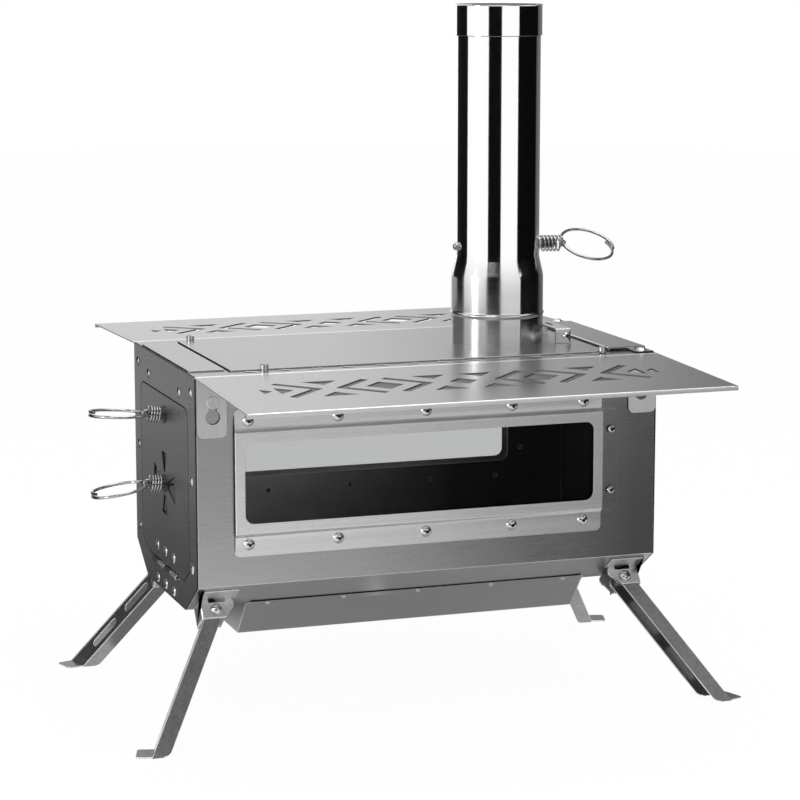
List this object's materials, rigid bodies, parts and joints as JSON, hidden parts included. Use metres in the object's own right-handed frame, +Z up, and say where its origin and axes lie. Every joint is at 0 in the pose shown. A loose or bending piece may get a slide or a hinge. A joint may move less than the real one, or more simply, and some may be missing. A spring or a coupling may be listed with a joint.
{
  "type": "tent wood stove",
  "caption": "Folding stainless wood stove with window walls, drop-down door, hook-on side shelves, splayed folding legs and a flue pipe with a damper.",
  "frame": {"origin": "on the ground under the middle of the firebox", "axes": "+X along the firebox towards the flue, +Y to the rear, +Z up"},
  "size_m": [0.5783, 0.5634, 0.639],
  "materials": {
    "brushed_top": "fine satin stainless sheet",
    "brushed_frame": "stainless sheet brushed along its length",
    "sheet": "mill-finish stainless sheet",
    "inner_sheet": "dull stainless sheet inside the stove",
    "stand_sheet": "folded stainless sheet with bright cut edges",
    "fastener": "bright stainless fasteners",
    "handle_wire": "bright spring wire",
    "polished_pipe": "mirror-polished rolled pipe",
    "window_glass": "clear heat-resistant glass"
  },
  "bodies": {
    "firebox": {"firebox_wrap": "sheet", "door_end_plate": "sheet", "far_end_plate": "sheet", "door_stop_frame": "inner_sheet", "top_plate": "brushed_top", "left_top_strip": "brushed_top", "cook_plate": "brushed_top", "right_top_strap": "brushed_top", "flue_collar": "inner_sheet", "lift_bridge": "brushed_top", "lift_bridge_screw": "fastener", "plate_clamp_screws": "fastener", "strap_screws": "fastener", "end_plate_rivets": "fastener", "front_window_frame": "brushed_frame", "rear_window_frame": "brushed_frame", "front_glass": "window_glass", "rear_glass": "window_glass", "front_glass_stop": "sheet", "rear_glass_stop": "sheet", "window_screws": "fastener", "glass_stop_screws": "fastener", "body_hinge_leaf": "stand_sheet", "hinge_pin": "fastener", "body_hinge_rivets": "fastener", "baffle_plate": "inner_sheet", "fire_grate": "inner_sheet", "shelf_studs": "fastener", "front_left_bracket": "stand_sheet", "front_right_bracket": "stand_sheet", "rear_left_bracket": "stand_sheet", "rear_right_bracket": "stand_sheet", "leg_pivot_bolts": "fastener", "leg_pivot_nuts": "fastener", "heat_shield_pan": "sheet", "heat_shield_screws": "fastener"},
    "door": {"door": "sheet", "door_hinge_leaf": "stand_sheet", "door_hinge_rivets": "fastener"},
    "latch": {"latch_spindle": "handle_wire", "latch_pawl": "inner_sheet", "latch_coil": "handle_wire", "latch_ring": "handle_wire"},
    "air_control": {"air_disc": "inner_sheet", "air_spindle": "handle_wire", "air_coil": "handle_wire", "air_ring": "handle_wire"},
    "front_shelf": {"front_shelf": "brushed_top"},
    "rear_shelf": {"rear_shelf": "brushed_top"},
    "flue": {"flue_pipe": "polished_pipe"},
    "damper": {"damper_shaft": "handle_wire", "damper_plate": "inner_sheet", "damper_coil": "handle_wire", "damper_ring": "handle_wire"},
    "front_left_leg": {"front_left_leg": "stand_sheet"},
    "front_right_leg": {"front_right_leg": "stand_sheet"},
    "rear_left_leg": {"rear_left_leg": "stand_sheet"},
    "rear_right_leg": {"rear_right_leg": "stand_sheet"}
  },
  "joints": [
    {"name": "door_hinge", "type": "hinge", "parent": "firebox", "child": "door", "pos_m": [-0.2203, 0, 0.1278], "axis": [0, -1, 0], "range_deg": [0, 110]},
    {"name": "latch_turn", "type": "hinge", "parent": "door", "child": "latch", "pos_m": [-0.2203, 0, 0.271], "axis": [1, 0, 0], "range_deg": [0, 90]},
    {"name": "air_control_turn", "type": "hinge", "parent": "door", "child": "air_control", "pos_m": [-0.2203, 0, 0.207], "axis": [1, 0, 0], "range_deg": [-9, 36]},
    {"name": "front_shelf_lift", "type": "slide", "parent": "firebox", "child": "front_shelf", "axis": [0, 0, 1], "range_m": [0, 0.013]},
    {"name": "rear_shelf_lift", "type": "slide", "parent": "firebox", "child": "rear_shelf", "axis": [0, 0, 1], "range_m": [0, 0.013]},
    {"name": "flue_lift", "type": "slide", "parent": "firebox", "child": "flue", "axis": [0, 0, 1], "range_m": [0, 0.03]},
    {"name": "damper_turn", "type": "hinge", "parent": "flue", "child": "damper", "pos_m": [0.105, 0, 0.4145], "axis": [1, 0, 0], "range_deg": [-26, 64]},
    {"name": "front_left_leg_fold", "type": "hinge", "parent": "firebox", "child": "front_left_leg", "pos_m": [-0.198, -0.08687, 0.10305], "axis": [0, -0.8291, 0.5591], "range_deg": [0, 115]},
    {"name": "front_right_leg_fold", "type": "hinge", "parent": "firebox", "child": "front_right_leg", "pos_m": [0.198, -0.08687, 0.10305], "axis": [0, 0.8291, -0.5591], "range_deg": [0, 115]},
    {"name": "rear_left_leg_fold", "type": "hinge", "parent": "firebox", "child": "rear_left_leg", "pos_m": [-0.198, 0.08687, 0.10305], "axis": [0, -0.8291, -0.5591], "range_deg": [0, 115]},
    {"name": "rear_right_leg_fold", "type": "hinge", "parent": "firebox", "child": "rear_right_leg", "pos_m": [0.198, 0.08687, 0.10305], "axis": [0, 0.8291, 0.5591], "range_deg": [0, 115]}
  ]
}
